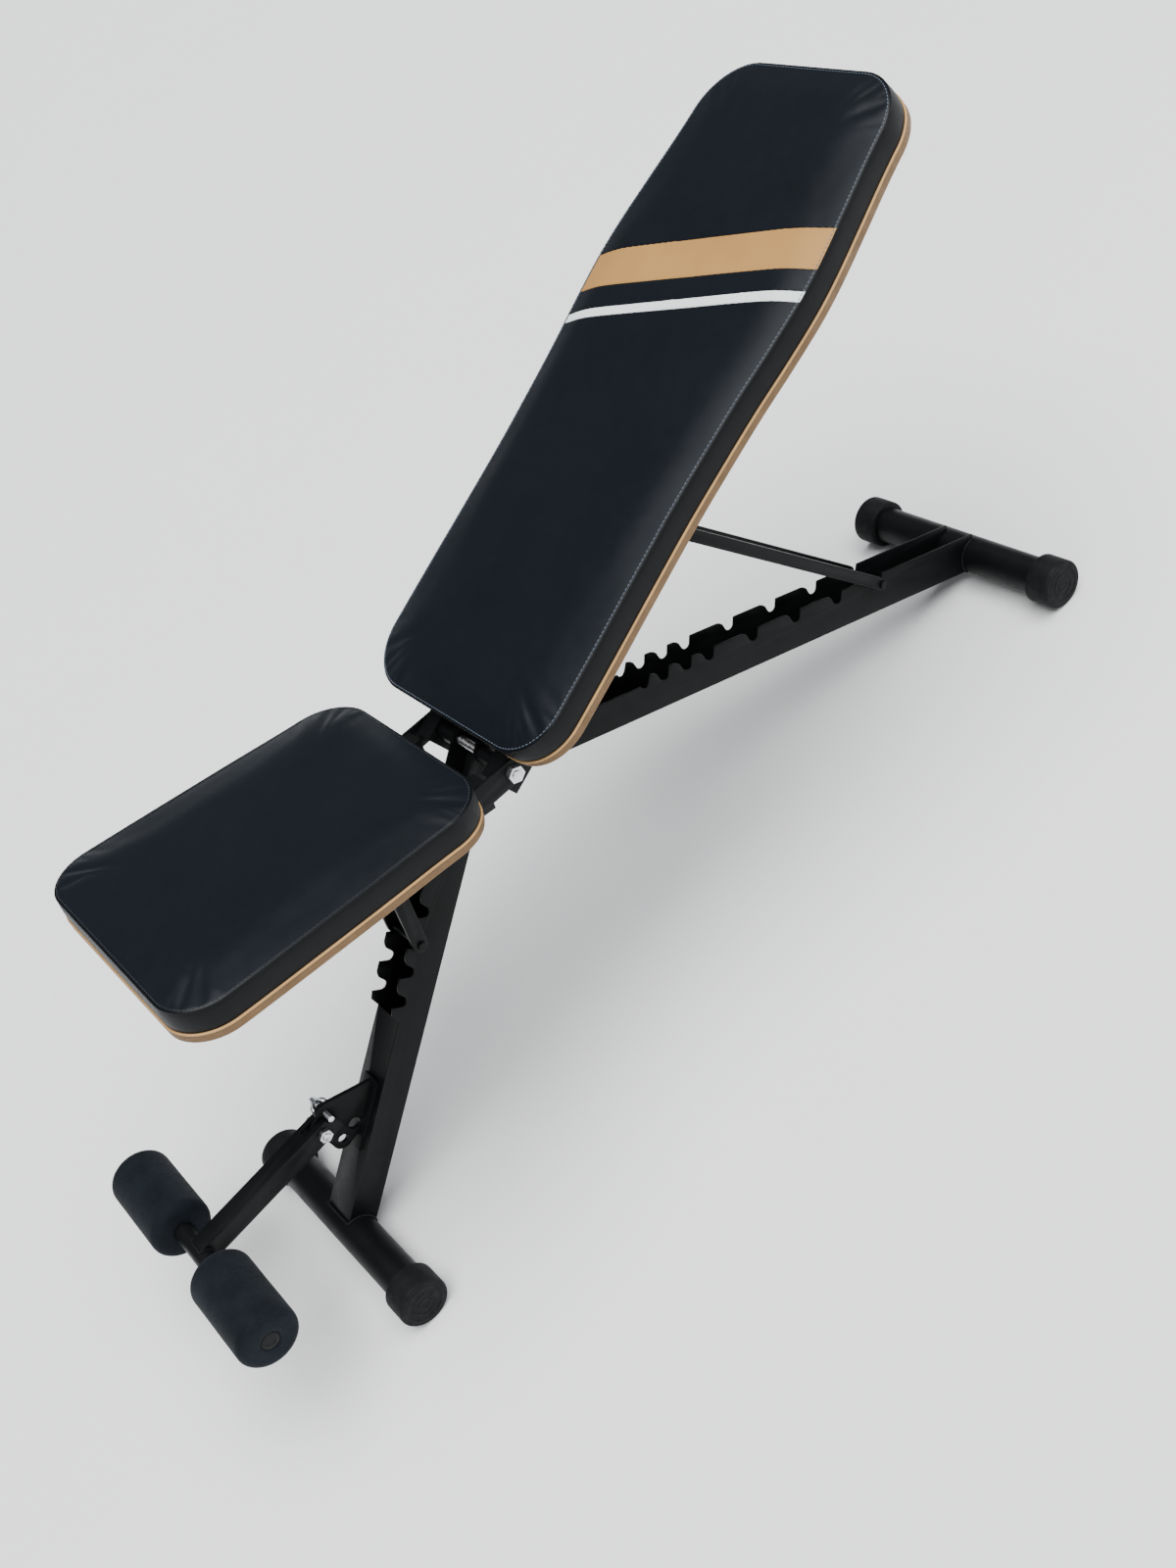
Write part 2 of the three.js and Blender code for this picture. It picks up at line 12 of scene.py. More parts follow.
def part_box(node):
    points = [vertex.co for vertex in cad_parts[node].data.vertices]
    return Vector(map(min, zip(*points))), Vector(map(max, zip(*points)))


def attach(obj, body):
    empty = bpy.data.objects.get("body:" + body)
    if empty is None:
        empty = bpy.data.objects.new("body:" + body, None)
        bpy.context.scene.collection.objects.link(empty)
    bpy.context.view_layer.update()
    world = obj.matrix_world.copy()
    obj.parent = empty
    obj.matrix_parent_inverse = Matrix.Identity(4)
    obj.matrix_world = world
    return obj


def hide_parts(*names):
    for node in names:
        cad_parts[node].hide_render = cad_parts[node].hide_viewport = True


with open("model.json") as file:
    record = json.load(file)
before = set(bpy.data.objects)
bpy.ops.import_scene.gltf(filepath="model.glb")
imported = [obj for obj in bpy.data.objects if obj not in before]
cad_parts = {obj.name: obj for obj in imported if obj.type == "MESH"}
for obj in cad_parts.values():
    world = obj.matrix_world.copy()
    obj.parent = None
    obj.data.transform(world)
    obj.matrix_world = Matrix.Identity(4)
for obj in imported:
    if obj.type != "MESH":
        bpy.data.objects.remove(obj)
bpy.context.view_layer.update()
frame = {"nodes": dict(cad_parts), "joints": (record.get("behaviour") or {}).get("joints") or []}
JOINTS = {j["name"]: j for j in frame["joints"]}
MM = 0.001
POST_ANGLE, BEAM_ANGLE = 37.9, -26.6
SEAT_ANGLE, BACK_ANGLE = 14.2, 18.2


# ---------------------------------------------------------------- side-view placement
def placer(origin, degrees, mirrored=False):
    """Side-view placement: (u, v, y) in millimetres to a point in metres."""
    c, s = math.cos(math.radians(degrees)), math.sin(math.radians(degrees))
    side = -1 if mirrored else 1

    def place(u, v, y=0.0):
        x = origin[0] + side * (u * c - v * s) * MM
        return Vector((x, y * MM, origin[1] + (u * s + v * c) * MM))

    place.normal = Vector((-side * s, 0, c))
    place.along = Vector((side * c, 0, s))
    return place


hinge = (JOINTS["seat_tilt"]["pos_m"][0], JOINTS["seat_tilt"]["pos_m"][2])
arm_pivot = (JOINTS["leg_hold_swing"]["pos_m"][0], JOINTS["leg_hold_swing"]["pos_m"][2])
roller_axis = (JOINTS["roller_spin_left"]["pos_m"][0], JOINTS["roller_spin_left"]["pos_m"][2])


def box_middle(node):
    low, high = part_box(node)
    return (low + high) / 2


FOOT_Z = box_middle("front_foot_tube").z
front_foot = (box_middle("front_foot_tube").x, FOOT_Z)
rear_foot = (box_middle("rear_foot_tube").x, FOOT_Z)
on_post = placer(front_foot, POST_ANGLE)
on_beam = placer(hinge, BEAM_ANGLE)
on_seat = placer(hinge, SEAT_ANGLE, True)
on_back = placer(hinge, BACK_ANGLE)
ARM_TILT = math.degrees(math.atan2(roller_axis[1] - arm_pivot[1], arm_pivot[0] - roller_axis[0]))
on_arm = placer(arm_pivot, ARM_TILT, True)


# ---------------------------------------------------------------- materials
def linear(r, g, b):
    """Colour as seen, 0 to 255, to the linear values a shader takes."""
    def one(v):
        v /= 255
        return v / 12.92 if v <= 0.04045 else ((v + 0.055) / 1.055) ** 2.4
    return (one(r), one(g), one(b), 1.0)


class Surface:
    """One procedural material, with helpers for its node tree."""

    def __init__(self, name, metallic=0.0, specular=0.5, sheen=0.0, coat=0.0, coat_rough=0.2):
        self.mat = bpy.data.materials.new(name)
        self.mat.use_nodes = True
        self.nodes, self.links = self.mat.node_tree.nodes, self.mat.node_tree.links
        self.bsdf = self.nodes["Principled BSDF"]
        for socket, value in (("Metallic", metallic), ("Specular IOR Level", specular),
                              ("Sheen Weight", sheen), ("Sheen Roughness", 0.5),
                              ("Coat Weight", coat), ("Coat Roughness", coat_rough)):
            self.bsdf.inputs[socket].default_value = value
        self.coord = self.nodes.new("ShaderNodeTexCoord").outputs["Object"]

    def link(self, a, b):
        self.links.new(a, b)

    def scaled(self, scale):
        m = self.nodes.new("ShaderNodeMapping")
        m.inputs["Scale"].default_value = scale
        self.link(self.coord, m.inputs["Vector"])
        return m.outputs["Vector"]

    def noise(self, scale, detail=3.0, rough=0.5, stretch=None):
        n = self.nodes.new("ShaderNodeTexNoise")
        n.inputs["Scale"].default_value = scale
        n.inputs["Detail"].default_value = detail
        n.inputs["Roughness"].default_value = rough
        self.link(self.scaled(stretch) if stretch else self.coord, n.inputs["Vector"])
        return n.outputs["Fac"]

    def cells(self, scale, feature="DISTANCE_TO_EDGE"):
        v = self.nodes.new("ShaderNodeTexVoronoi")
        v.feature = feature
        v.inputs["Scale"].default_value = scale
        self.link(self.coord, v.inputs["Vector"])
        return v.outputs["Distance"]

    def band(self, value, low, high, out_low=0.0, out_high=1.0):
        m = self.nodes.new("ShaderNodeMapRange")
        for socket, x in (("From Min", low), ("From Max", high), ("To Min", out_low), ("To Max", out_high)):
            m.inputs[socket].default_value = x
        self.link(value, m.inputs["Value"])
        return m.outputs["Result"]

    def mix(self, fac, a, b):
        m = self.nodes.new("ShaderNodeMix")
        m.data_type = "RGBA"
        self.link(fac, m.inputs["Factor"])
        for socket, x in ((m.inputs[6], a), (m.inputs[7], b)):
            if isinstance(x, tuple):
                socket.default_value = x
            else:
                self.link(x, socket)
        return m.outputs[2]

    def color(self, out):
        self.link(out, self.bsdf.inputs["Base Color"])

    def roughness(self, out):
        self.link(out, self.bsdf.inputs["Roughness"])

    def bumps(self, *layers):
        """Stack of (height, strength, distance in metres)."""
        normal = None
        for height, strength, distance in layers:
            b = self.nodes.new("ShaderNodeBump")
            b.inputs["Strength"].default_value = strength
            b.inputs["Distance"].default_value = distance
            self.link(height, b.inputs["Height"])
            if normal is not None:
                self.link(normal, b.inputs["Normal"])
            normal = b.outputs["Normal"]
        self.link(normal, self.bsdf.inputs["Normal"])
        return self.mat


def vinyl(name, low, high, rough=(0.34, 0.42), specular=0.22):
    s = Surface(name, specular=specular, coat=0.02, coat_rough=0.3)
    cloud = s.noise(9, 4, 0.55)
    s.color(s.mix(s.band(cloud, 0.32, 0.7), low, high))
    s.roughness(s.band(s.noise(60, 5, 0.65), 0.3, 0.72, *rough))
    grain = s.band(s.cells(820), 0.0, 0.16)
    waves, pores = s.noise(16, 2, 0.4), s.noise(2600, 2)
    return s.bumps((waves, 0.05, 0.001), (grain, 0.12, 0.00014), (pores, 0.05, 0.0001))


def powder_coat():
    s = Surface("powder_coat_black", specular=0.12)
    s.color(s.mix(s.band(s.noise(14, 4), 0.3, 0.7), linear(11, 12, 13), linear(17, 18, 19)))
    s.roughness(s.band(s.noise(45, 6, 0.7), 0.28, 0.75, 0.34, 0.52))
    return s.bumps((s.noise(950, 2, 0.5), 0.22, 0.00022), (s.noise(240, 2), 0.1, 0.0003))


def foam():
    s = Surface("foam_black", specular=0.1, sheen=0.03)
    s.color(s.mix(s.band(s.noise(30, 5), 0.3, 0.72), linear(13, 17, 22), linear(21, 27, 34)))
    s.roughness(s.band(s.noise(320, 3), 0.3, 0.7, 0.74, 0.95))
    pores = s.band(s.cells(700), 0.0, 0.22)
    return s.bumps((s.noise(70, 3), 0.2, 0.0012), (pores, 0.3, 0.0003), (s.noise(1900, 2), 0.25, 0.00015))


def rubber():
    s = Surface("rubber_black", specular=0.15)
    s.color(s.mix(s.band(s.noise(60, 5), 0.35, 0.75), linear(14, 15, 16), linear(23, 24, 25)))
    s.roughness(s.band(s.noise(130, 4), 0.3, 0.7, 0.55, 0.78))
    return s.bumps((s.noise(900, 3), 0.22, 0.0002), (s.noise(60, 2), 0.12, 0.0006))


def zinc():
    s = Surface("zinc_plate", metallic=1.0)
    s.color(s.mix(s.band(s.noise(160, 5), 0.3, 0.7), linear(196, 198, 202), linear(226, 227, 228)))
    s.roughness(s.band(s.noise(420, 4, 0.6), 0.3, 0.7, 0.2, 0.42))
    return s.bumps((s.noise(1300, 2), 0.1, 0.0001))


def edge_band(name, low, high):
    s = Surface(name, specular=0.4)
    s.color(s.mix(s.band(s.noise(34, 5, 0.6), 0.3, 0.7), low, high))
    s.roughness(s.band(s.noise(90, 4), 0.3, 0.7, 0.42, 0.6))
    return s.bumps((s.noise(1500, 2), 0.12, 0.00012))


def board_cover():
    s = Surface("underside_cover", specular=0.25, sheen=0.1)
    s.color(s.mix(s.band(s.noise(80, 6, 0.7), 0.3, 0.7), linear(22, 22, 23), linear(38, 37, 36)))
    s.roughness(s.band(s.noise(200, 3), 0.3, 0.7, 0.8, 0.95))
    fibres = s.noise(420, 5, 0.75, (1.0, 3.0, 1.0))
    return s.bumps((fibres, 0.45, 0.0004), (s.cells(380), 0.2, 0.0004))


def plug_plastic():
    s = Surface("plug_grey", specular=0.1)
    s.color(s.mix(s.band(s.noise(90, 4), 0.3, 0.7), linear(22, 23, 24), linear(30, 31, 32)))
    s.roughness(s.band(s.noise(200, 3), 0.3, 0.7, 0.45, 0.62))
    return s.bumps((s.noise(1200, 2), 0.15, 0.00015))


def thread(name, shade):
    s = Surface(name, specular=0.3, sheen=0.2)
    s.color(s.mix(s.noise(900, 2), shade, tuple(min(1.0, v * 1.35) for v in shade[:3]) + (1.0,)))
    s.roughness(s.band(s.noise(700, 2), 0.3, 0.7, 0.55, 0.7))
    return s.bumps((s.noise(2400, 2, 0.5, (1, 1, 4)), 0.3, 0.0001))


M = {
    "black": vinyl("vinyl_black", linear(10, 14, 20), linear(12, 17, 24)),
    # Boxing: the top vinyl given a darker, greyer colour and weaker specular for the pad sides, painted
    # shade.
    "side": vinyl("vinyl_boxing_painted_shade", linear(9, 11, 13), linear(12, 14, 16), (0.44, 0.54), 0.12),
    "tan": vinyl("vinyl_tan", linear(170, 126, 70), linear(180, 136, 78), (0.4, 0.5)),
    "white": vinyl("vinyl_white", linear(232, 238, 238), linear(243, 247, 247), (0.4, 0.52)),
    "paint": powder_coat(),
    "foam": foam(),
    "rubber": rubber(),
    "zinc": zinc(),
    "trim": edge_band("edge_band_tan", linear(104, 78, 46), linear(120, 91, 56)),
    # Bead: the same tan edge band painted lighter along its raised top, a painted highlight.
    "bead": edge_band("edge_band_bead_painted_highlight", linear(174, 136, 86), linear(188, 148, 96)),
    "board": board_cover(),
    "plug": plug_plastic(),
    "thread": thread("thread_blue_grey", linear(88, 99, 112)),
    "thread_dark": thread("thread_black", linear(20, 24, 29)),
}


# ---------------------------------------------------------------- mesh helpers
def to_object(name, bm, materials, smooth=True):
    mesh = bpy.data.meshes.new(name)
    bm.normal_update()
    bm.to_mesh(mesh)
    bm.free()
    for m in materials:
        mesh.materials.append(M[m])
    if smooth:
        mesh.polygons.foreach_set("use_smooth", [True] * len(mesh.polygons))
    o = bpy.data.objects.new(name, mesh)
    bpy.context.scene.collection.objects.link(o)
    return o


def sharpen(o, degrees=38):
    """Marks edges above an angle as sharp."""
    bm = bmesh.new()
    bm.from_mesh(o.data)
    limit = math.radians(degrees)
    for e in bm.edges:
        if len(e.link_faces) == 2 and e.calc_face_angle(0) > limit:
            e.smooth = False
    bm.to_mesh(o.data)
    bm.free()


def apply_modifiers(o):
    dg = bpy.context.evaluated_depsgraph_get()
    mesh = bpy.data.meshes.new_from_object(o.evaluated_get(dg))
    old = o.data
    o.modifiers.clear()
    o.data = mesh
    bpy.data.meshes.remove(old)


def finish_piece(o, body, slot, *nodes):
    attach(o, body)
    if nodes:
        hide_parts(*nodes)
    return o


def refine(node, body, slot, material, width=0.5, name=None):
    """Welded copy of a CAD node with softened edges, shown in place of it."""
    bm = bmesh.new()
    bm.from_mesh(frame["nodes"][node].data)
    bmesh.ops.remove_doubles(bm, verts=bm.verts, dist=2e-6)
    bmesh.ops.dissolve_limit(bm, angle_limit=math.radians(0.6), verts=bm.verts, edges=bm.edges)
    for e in bm.edges:
        e.smooth = True
    o = to_object(name or node + "_skin", bm, [material])
    bevel = o.modifiers.new("soft_edges", "BEVEL")
    bevel.width = width * MM
    bevel.segments = 2
    bevel.limit_method = "ANGLE"
    bevel.angle_limit = math.radians(32)
    bevel.use_clamp_overlap = True
    bevel.harden_normals = False
    apply_modifiers(o)
    sharpen(o, 34)
    return finish_piece(o, body, slot, node)


def lathe(name, profile, axis, material, segments=72, shape=None, cut_floor=False):
    """Solid of revolution about a line along Y; profile of (radius, y) in millimetres, closed."""
    bm = bmesh.new()
    rows = []
    for i in range(segments):
        a = 2 * math.pi * i / segments
        row = []
        for r, y in profile:
            rr = r * (shape(a, y) if shape else 1.0)
            x, z = axis[0] + rr * math.cos(a) * MM, axis[1] + rr * math.sin(a) * MM
            row.append(bm.verts.new((x, y * MM, z)))
        rows.append(row)
    for i in range(segments):
        a, b = rows[i], rows[(i + 1) % segments]
        for k in range(len(profile)):
            n = (k + 1) % len(profile)
            bm.faces.new((a[k], a[n], b[n], b[k]))
    bmesh.ops.remove_doubles(bm, verts=bm.verts, dist=1e-6)
    if cut_floor:
        for v in bm.verts:
            v.co.z = max(v.co.z, 0.0)
    bmesh.ops.recalc_face_normals(bm, faces=bm.faces)
    o = to_object(name, bm, [material])
    sharpen(o)
    return o


def rounded(points, radius, steps=4):
    """Closed profile with every corner rounded."""
    out = []
    count = len(points)
    for i in range(count):
        p, a, b = (Vector(points[k % count]) for k in (i, i - 1, i + 1))
        da, db = a - p, b - p
        if da.length < 1e-6 or db.length < 1e-6 or p.x < 0.01:
            out.append(tuple(p))
            continue
        r = min(radius, da.length * 0.45, db.length * 0.45)
        start, end = p + da.normalized() * r, p + db.normalized() * r
        for k in range(steps + 1):
            t = k / steps
            out.append(tuple(start.lerp(p, t).lerp(p.lerp(end, t), t)))
    return out


def tube(bm, points, radius, closed=False, sides=8, ripple=None, material=0):
    """Round bead along points. ripple(i) scales the radius at point i."""
    count = len(points)
    rings = []
    up = None
    for i in range(count):
        ahead = points[(i + 1) % count] if closed or i + 1 < count else points[i]
        behind = points[i - 1] if closed or i > 0 else points[i]
        t = (ahead - behind).normalized()
        if up is None:
            up = t.orthogonal().normalized()
        up = (up - t * up.dot(t)).normalized()
        side = t.cross(up)
        r = radius * (ripple(i) if ripple else 1.0)
        rings.append([
            bm.verts.new(points[i] + (up * math.cos(2 * math.pi * k / sides)
                                      + side * math.sin(2 * math.pi * k / sides)) * r)
            for k in range(sides)
        ])
    last = count if closed else count - 1
    shift = 0
    for i in range(last):
        a, b = rings[i], rings[(i + 1) % count]
        if closed and i == count - 1:
            shift = min(range(sides), key=lambda k: (a[0].co - b[k].co).length)
        for k in range(sides):
            f = bm.faces.new((a[k], a[(k + 1) % sides], b[(k + 1 + shift) % sides], b[(k + shift) % sides]))
            f.material_index = material
    if not closed:
        bm.faces.new(rings[0][::-1]).material_index = material
        bm.faces.new(rings[-1]).material_index = material


def resample(points, step, closed=False):
    pts = list(points) + ([points[0]] if closed else [])
    lengths = [0.0]
    for a, b in zip(pts, pts[1:]):
        lengths.append(lengths[-1] + (b - a).length)
    total = lengths[-1]
    count = max(3, round(total / step))
    out, k = [], 0
    for i in range(count if closed else count + 1):
        want = total * i / count
        while k < len(lengths) - 2 and lengths[k + 1] < want:
            k += 1
        span = lengths[k + 1] - lengths[k]
        out.append(pts[k].lerp(pts[k + 1], (want - lengths[k]) / span if span > 1e-9 else 0))
    return out


# ---------------------------------------------------------------- pads
SEAT_STATIONS = [[65, 164], [105, 168], [160, 171], [230, 176], [320, 181], [400, 185], [476, 187]]
BACK_STATIONS = [
    [14, 172], [80, 173], [160, 172], [240, 170], [330, 168.5], [400, 170], [470, 173],
    [530, 178], [590, 181], [640, 178.5], [700, 171], [760, 163], [812, 158], [864, 154],
]
PADS = {
    "seat": dict(stations=SEAT_STATIONS, corners=(62, 58), place=on_seat, rail_top=9.5, seam=52.0),
    "backrest": dict(stations=BACK_STATIONS, corners=(66, 74), place=on_back, rail_top=15.5, seam=57.5),
}
BOARD = 12.4
GAP = 0.3
ROLL_WIDTH, ROLL_HEIGHT = 40, 6.2
TAN_BAND = ((585.0, 0.25), (636.0, 0.25))
WHITE_BAND = ((543.0, 0.261), (555.4, 0.264))


def width_curve(stations):
    """Half width along s, on a Catmull-Rom curve through the stations."""
    p = np.array(stations, float)
    n = len(p) - 1
    out = []
    for i in range(1201):
        at = i / 1200 * n
        k = min(int(at), n - 1)
        t = at - k
        p0, p1, p2, p3 = p[max(k - 1, 0)], p[k], p[k + 1], p[min(k + 2, n)]
        v0, v1 = (p2 - p0) / 2, (p3 - p1) / 2
        cubic = 2 * p1 - 2 * p2 + v0 + v1
        square = -3 * p1 + 3 * p2 - 2 * v0 - v1
        out.append(cubic * t**3 + square * t**2 + v0 * t + p1)
    out = np.array(out)
    return lambda s: float(np.interp(s, out[:, 0], out[:, 1]))


def ring_maker(stations, corners, count):
    """Outline ring of a pad at any inset, with matching points from ring to ring."""
    width = width_curve(stations)
    s_low, s_high = stations[0][0], stations[-1][0]

    def half(tau, inset):
        s0, s1 = s_low + inset, s_high - inset
        low, high = max(corners[0] - inset, 6), max(corners[1] - inset, 6)
        w0, w1 = width(s0 + low) - inset, width(s1 - high) - inset
        part, t = min(int(tau), 4), tau - min(int(tau), 4)
        a = math.pi / 2 * t
        if part == 0:
            return s0, (w0 - low) * t
        if part == 1:
            return s0 + low * (1 - math.cos(a)), w0 - low * (1 - math.sin(a))
        if part == 2:
            s = s0 + low + (s1 - high - s0 - low) * t
            return s, width(s) - inset
        if part == 3:
            return s1 - high * (1 - math.sin(a)), w1 - high * (1 - math.cos(a))
        return s1, (w1 - high) * (1 - t)

    dense = [half(5 * i / 4000, 0) for i in range(4001)]
    length = np.concatenate([[0], np.cumsum([math.dist(a, b) for a, b in zip(dense, dense[1:])])])
    taus = np.interp(np.linspace(0, length[-1], count + 1), length, np.linspace(0, 5, 4001))
    taus = np.minimum(taus, 4.999999)

    def ring(inset):
        side = [half(t, inset) for t in taus]
        return side + [(s, -y) for s, y in side[-2:0:-1]]

    return ring


def crown_height(inset):
    """Rise of the top panel above the seam, before the foam swells."""
    t = max(0.0, 1 - inset / ROLL_WIDTH)
    return ROLL_HEIGHT * (1 - t**2.3) ** 0.8


def cushion(name, count):
    pad = PADS[name]
    place, seam = pad["place"], pad["seam"]
    ring = ring_maker(pad["stations"], pad["corners"], count)
    base = pad["rail_top"] + GAP + BOARD + GAP
    layers = [(ring(1.5), base, 1)]
    steps = 7
    for k in range(1, steps):
        t = k / steps
        layers.append((ring(0.9 - 0.9 * math.sin(math.pi * t)), base + (seam - base) * t, 1))
    layers.append((ring(1.3), seam, 0))
    insets = [2.6, 4.2, 6.4, 9.2, 12.6, 16.6, 21.4, 27, 33, 40]
    layers += [(ring(i + 1.0), seam + 0.9 + crown_height(i), 0) for i in insets]
    inner = ring(insets[-1] + 1.0)
    s_all = [p[0] for p in inner]
    gather = 112
    lo, hi = min(s_all) + gather, max(s_all) - gather
    rows = 15
    for k in range(1, rows):
        t = k / rows
        moved = [(s + (min(max(s, lo), hi) - s) * t, y * (1 - t)) for s, y in inner]
        layers.append((moved, seam + 0.9 + crown_height(insets[-1]), 0))
    bm = bmesh.new()
    crease = bm.edges.layers.float.new("crease_edge")
    pin = bm.verts.layers.deform.verify()
    grid = [[bm.verts.new(place(s, n, y)) for s, y in outline] for outline, n, _ in layers]
    around = len(grid[0])
    for k in range(len(grid) - 1):
        for i in range(around):
            j = (i + 1) % around
            f = bm.faces.new((grid[k][i], grid[k][j], grid[k + 1][j], grid[k + 1][i]))
            f.material_index = 0 if layers[k][2] == 0 else 1
    half = around // 2
    for row, material in ((grid[0], 1), (grid[-1], 0)):
        for i in range(half):
            quad = (row[i], row[i + 1], row[(around - i - 1) % around], row[(around - i) % around])
            corners = [v for n, v in enumerate(quad) if v not in quad[:n]]
            if len(corners) > 2:
                bm.faces.new(corners).material_index = material
    seam_row = steps
    for row in (0, seam_row):
        for i in range(around):
            e = bm.edges.get((grid[row][i], grid[row][(i + 1) % around]))
            e[crease] = 1.0
            e.smooth = False
    for row in (0, seam_row):
        for v in grid[row]:
            v[pin][0] = 1.0
    for v in grid[seam_row + 1]:
        v[pin][0] = 0.35
    bmesh.ops.recalc_face_normals(bm, faces=bm.faces)
    # Slot 1, the boxing on the sides, is the darker copy of the cover vinyl: painted shade.
    o = to_object(f"{name}_cushion_soft", bm, ["black", "side", "tan", "white"])
    o.vertex_groups.new(name="pin")
    seam_line = [place(s, n, y) for (s, y), n in ((p, seam) for p in layers[seam_row][0])]
    return o, ring, seam_line


def swell(o, cap):
    """Foam pressing out against the cover: a cloth run under pressure, with each point's move capped."""
    rest = np.array([v.co[:] for v in o.data.vertices])
    cloth = o.modifiers.new("cloth", "CLOTH")
    s = cloth.settings
    s.quality = 5
    s.mass = 0.35
    s.tension_stiffness = s.compression_stiffness = 22
    s.shear_stiffness = 12
    s.bending_stiffness = 6
    s.use_pressure = True
    s.uniform_pressure_force = 4
    s.effector_weights.gravity = 0
    s.vertex_group_mass = "pin"
    cloth.point_cache.frame_start, cloth.point_cache.frame_end = 1, 20
    for f in range(1, 21):
        bpy.context.scene.frame_set(f)
    dg = bpy.context.evaluated_depsgraph_get()
    moved = np.array([v.co[:] for v in o.evaluated_get(dg).data.vertices])
    o.modifiers.remove(cloth)
    bpy.context.scene.frame_set(1)
    d = moved - rest
    size = np.linalg.norm(d, axis=1, keepdims=True)
    return rest, d / np.maximum(size, 1e-9) * np.tanh(size / cap) * cap


def settle(o, pad, cap=3.4):
    """Swelling of the cover, then one subdivision and a slight unevenness of the foam."""
    place = pad["place"]
    rest, d = swell(o, cap * MM)
    o.data.vertices.foreach_set("co", (rest + d).astype(np.float32).ravel())
    sub = o.modifiers.new("sub", "SUBSURF")
    sub.levels = sub.render_levels = 1
    apply_modifiers(o)
    for v in o.data.vertices:
        lift = noise.noise(v.co * 14) * 0.4 + noise.noise(v.co * 42) * 0.08
        above = (v.co - place(0, pad["seam"])).dot(place.normal) / MM
        v.co += place.normal * (lift * MM * min(max((above - 1.5) / 4, 0), 1))


def stripe_cuts(o):
    """Sewn bands across the backrest: cuts along each seam, a sunk seam line and a colour per band."""
    place = on_back
    lines = WHITE_BAND + TAN_BAND
    bm = bmesh.new()
    bm.from_mesh(o.data)

    def s_at(v, slope):
        local = v - place(0, 0)
        return local.dot(place.along) / MM + slope * v.y / MM

    sink = []
    for s0, slope in lines:
        normal = (place.along + Vector((0, slope, 0))).normalized()
        reach = math.sqrt(1 + slope**2)
        for off in (-1.6, 0.0, 1.6):
            point = place(s0 + off * reach, 0)
            faces = [f for f in bm.faces if f.material_index == 0
                     and abs(s_at(f.calc_center_median(), slope) - s0) < 22]
            geom = faces + list({e for f in faces for e in f.edges})
            geom += list({v for f in faces for v in f.verts})
            cut = bmesh.ops.bisect_plane(bm, geom=geom, dist=1e-6, plane_co=point, plane_no=normal)
            if off == 0.0:
                sink += [g for g in cut["geom_cut"] if isinstance(g, bmesh.types.BMVert)]
    seam_level = PADS["backrest"]["seam"]
    for v in sink:
        above = (v.co - place(0, seam_level)).dot(place.normal) / MM
        if above > 1.2:
            v.co -= place.normal * 0.85 * MM
    for f in bm.faces:
        if f.material_index != 0:
            continue
        c = f.calc_center_median()
        for index, (start, end) in ((2, TAN_BAND), (3, WHITE_BAND)):
            if s_at(c, start[1]) > start[0] and s_at(c, end[1]) < end[0]:
                f.material_index = index
                break
    bm.to_mesh(o.data)
    bm.free()


def stitches(name, pad, ring, surface):
    """Row of thread just inside the seam, lying on the top panel."""
    tree = BVHTree.FromObject(surface, bpy.context.evaluated_depsgraph_get())
    line = [pad["place"](s, pad["seam"] + 3.0, y) for s, y in ring(3.6)]
    line = resample(line, 5.2 * MM, closed=True)
    bm = bmesh.new()
    count = len(line)
    for i in range(count):
        t = (line[(i + 1) % count] - line[i - 1]).normalized()
        points = []
        for k in range(5):
            q = line[i] + t * ((k / 4 - 0.5) * 3.6 * MM)
            hit, normal, _, _ = tree.find_nearest(q)
            arch = math.sin(math.pi * k / 4)
            points.append(hit + normal * (0.1 + 0.3 * arch) * MM)
        tube(bm, points, 0.42 * MM, sides=6, ripple=lambda k: (0.55, 0.95, 1.0, 0.95, 0.55)[k])
    o = to_object(f"{name}_seam_stitches", bm, ["thread" if name == "backrest" else "thread_dark"])
    return finish_piece(o, name, "vinyl")


def fold_lip(name, seam_line):
    """Folded edge of the sewn cover along the seam."""
    bm = bmesh.new()
    line = resample(seam_line, 4 * MM, closed=True)
    tube(bm, line, 0.95 * MM, closed=True, sides=8,
         ripple=lambda i: 1 + 0.08 * math.sin(i * 2.4))
    # Coloured with the boxing vinyl, whose darker colour is painted shade.
    o = to_object(f"{name}_seam_fold", bm, ["side"])
    return finish_piece(o, name, "vinyl")


